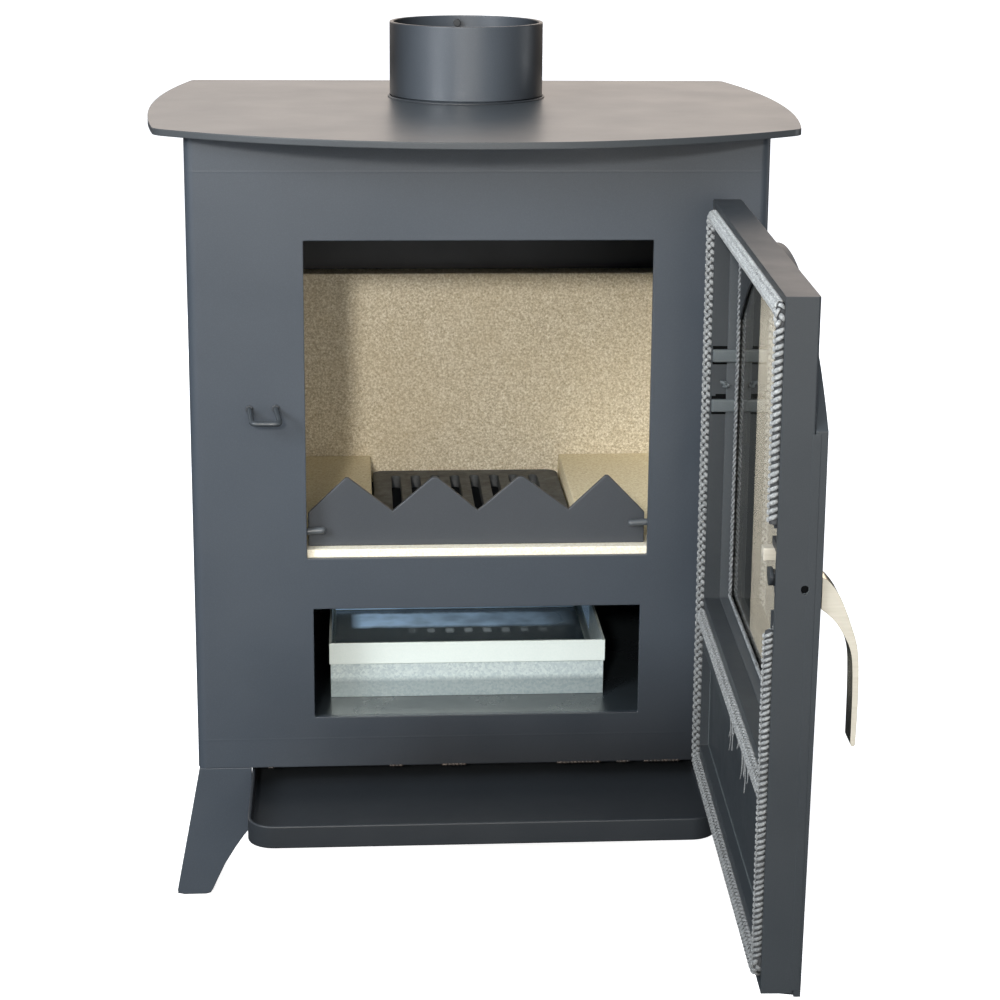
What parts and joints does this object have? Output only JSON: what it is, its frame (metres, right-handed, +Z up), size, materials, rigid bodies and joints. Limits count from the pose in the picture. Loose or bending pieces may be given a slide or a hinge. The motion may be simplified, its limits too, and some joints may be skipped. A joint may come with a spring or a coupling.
{
  "type": "potbelly stove",
  "caption": "Solid-fuel box stove on splayed legs with a bowed top, round flue collar, brick-lined firebox over an ash pan, and an arch-fronted glazed door with a lever latch.",
  "frame": {"origin": "on the floor, under the centre of the bounding box of the stove with its door open as in the rest pose", "axes": "+X to the viewer's right facing the stove, +Y towards the back of the stove, +Z up along the flue collar"},
  "size_m": [0.511, 0.7642, 0.677],
  "materials": {
    "body_paint": "satin heat-resistant slate grey",
    "dark_steel": "satin dark grey",
    "brick": "rough pressed vermiculite",
    "rope": "braided glass-fibre rope",
    "glass": "ceramic glass, clear",
    "galvanised": "zinc-coated, spangled",
    "iron": "as cast",
    "bare_steel": "plain steel",
    "handle_chrome": "warm polished",
    "weld": "weld metal"
  },
  "bodies": {
    "stove_body": {"body_wrap": "body_paint", "back_panel": "body_paint", "base_plate": "dark_steel", "top_plate": "body_paint", "flue_collar": "body_paint", "flue_weld": "body_paint", "collar_screw": "bare_steel", "leg_front_left": "body_paint", "leg_front_right": "body_paint", "leg_rear_left": "body_paint", "leg_rear_right": "body_paint", "ash_floor": "dark_steel", "firebox_floor": "dark_steel", "back_brick": "brick", "side_brick_left": "brick", "side_brick_right": "brick", "base_brick_left": "brick", "base_brick_right": "brick", "front_brick": "brick", "baffle_plate": "dark_steel", "baffle_rails": "dark_steel", "retainer_pegs": "bare_steel", "latch_keeper": "dark_steel", "keeper_welds": "dark_steel", "base_tacks": "weld", "ash_lip_tray": "body_paint", "hinge_brackets": "dark_steel", "hinge_pins": "bare_steel"},
    "door": {"door_tray": "dark_steel", "seal_channel": "dark_steel", "crossbar": "dark_steel", "lower_panel": "dark_steel", "door_front_plate": "dark_steel", "door_knuckles": "dark_steel", "spindle_boss": "dark_steel", "glass": "glass", "glass_gasket": "rope", "glass_clips": "dark_steel", "clip_screws": "bare_steel", "rope_perimeter": "rope", "rope_crossbar": "rope", "grub_screw": "bare_steel"},
    "handle": {"handle_lever": "handle_chrome", "handle_spindle": "bare_steel", "latch_hook": "dark_steel", "hook_finger": "handle_chrome"},
    "fire_grate": {"grate": "iron"},
    "log_guard": {"log_retainer": "body_paint"},
    "ash_drawer": {"ash_pan": "galvanised", "pan_hem": "galvanised"}
  },
  "joints": [
    {"name": "door_hinge", "type": "hinge", "parent": "stove_body", "child": "door", "pos_m": [0.197, 0.0059, 0.35], "axis": [0, 0, 1], "range_deg": [-88, 30]},
    {"name": "latch_turn", "type": "hinge", "parent": "door", "child": "handle", "pos_m": [0.17294, -0.36799, 0.385], "axis": [-0.9994, 0.0349, 0], "range_deg": [0, 80]},
    {"name": "ash_pan_slide", "type": "slide", "parent": "stove_body", "child": "ash_drawer", "axis": [0, -1, 0], "range_m": [0, 0.24]},
    {"name": "log_guard_lift", "type": "slide", "parent": "stove_body", "child": "log_guard", "axis": [0, 0, 1], "range_m": [0, 0.06]},
    {"name": "grate_lift", "type": "slide", "parent": "stove_body", "child": "fire_grate", "axis": [0, 0, 1], "range_m": [0, 0.06]}
  ]
}
